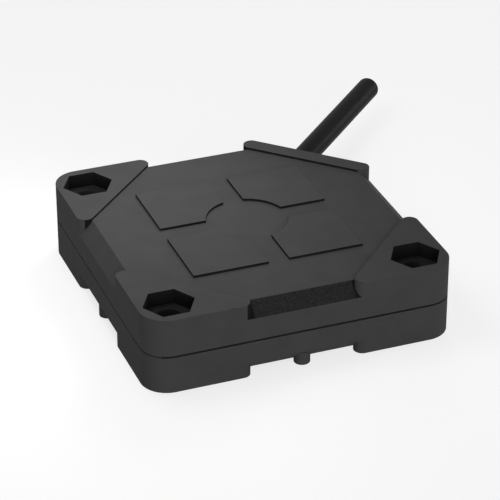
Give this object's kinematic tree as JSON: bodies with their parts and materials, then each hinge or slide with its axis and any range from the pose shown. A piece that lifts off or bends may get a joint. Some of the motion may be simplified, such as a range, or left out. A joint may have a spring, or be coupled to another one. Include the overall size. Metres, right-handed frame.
{
  "type": "capacitive sensor",
  "caption": "Flat square capacitive sensor: two moulded black shells, corner nut pockets and feet, marked active face, and a cable leaving one chamfered corner.",
  "frame": {"origin": "middle of the square footprint, on the plane of the feet", "axes": "+Z out of the active face, +Y towards the back, +X to the right; the chamfered corner with the cable lies towards +X and +Y"},
  "size_m": [0.0545, 0.0598, 0.0101],
  "materials": {
    "shell_front": "fine-grained moulded black plastic",
    "shell_rear": "fine-grained moulded black plastic",
    "plate": "coarse dark grain, bare",
    "board": "glass-fibre board with solder mask",
    "copper": "thin copper",
    "screen_foil": "tinned foil",
    "resin": "cast resin",
    "header_plastic": "moulded black plastic",
    "pin_metal": "plated pins",
    "chip_package": "moulded package",
    "capacitor_ceramic": "fired ceramic",
    "resistor_ceramic": "glazed ceramic",
    "lamp": "yellow lamp",
    "clear_guide": "clear moulded plastic",
    "trimmer_plastic": "blue moulded plastic",
    "rotor_brass": "turned brass",
    "seal_rubber": "soft rubber",
    "grommet_rubber": "soft rubber",
    "crimp_metal": "nickel-plated",
    "cable_jacket": "black cable jacket, satin",
    "core_brown": "brown insulation",
    "core_black": "black insulation",
    "core_blue": "blue insulation",
    "conductor_copper": "bare copper",
    "solder": "solder"
  },
  "bodies": {
    "housing": {"front_shell": "shell_front", "rear_shell": "shell_rear", "type_plate": "plate", "electrode_board": "board", "sensing_electrode": "copper", "compensation_electrode": "copper", "screen_electrode": "copper", "circuit_board": "board", "rear_screen": "screen_foil", "potting_compound": "resin", "pin_header": "header_plastic", "header_pins": "pin_metal", "oscillator_chip": "chip_package", "output_transistor": "chip_package", "voltage_regulator": "chip_package", "protection_diodes": "chip_package", "capacitors": "capacitor_ceramic", "resistors": "resistor_ceramic", "status_lamp": "lamp", "light_guide": "clear_guide", "trimmer_case": "trimmer_plastic", "cable_grommet": "grommet_rubber", "crimp_ring": "crimp_metal", "cable_end": "cable_jacket", "core_brown": "core_brown", "core_black": "core_black", "core_blue": "core_blue", "conductor_ends": "conductor_copper", "solder_joints": "solder", "cable": "cable_jacket"},
    "adjuster": {"trimmer_rotor": "rotor_brass", "trimmer_seal": "seal_rubber"}
  },
  "joints": [
    {"name": "adjuster_turn", "type": "hinge", "parent": "housing", "child": "adjuster", "pos_m": [0.01724, 0.01101, 0.005], "axis": [0.7071, 0.7071, 0], "range_deg": [-130, 130]}
  ]
}
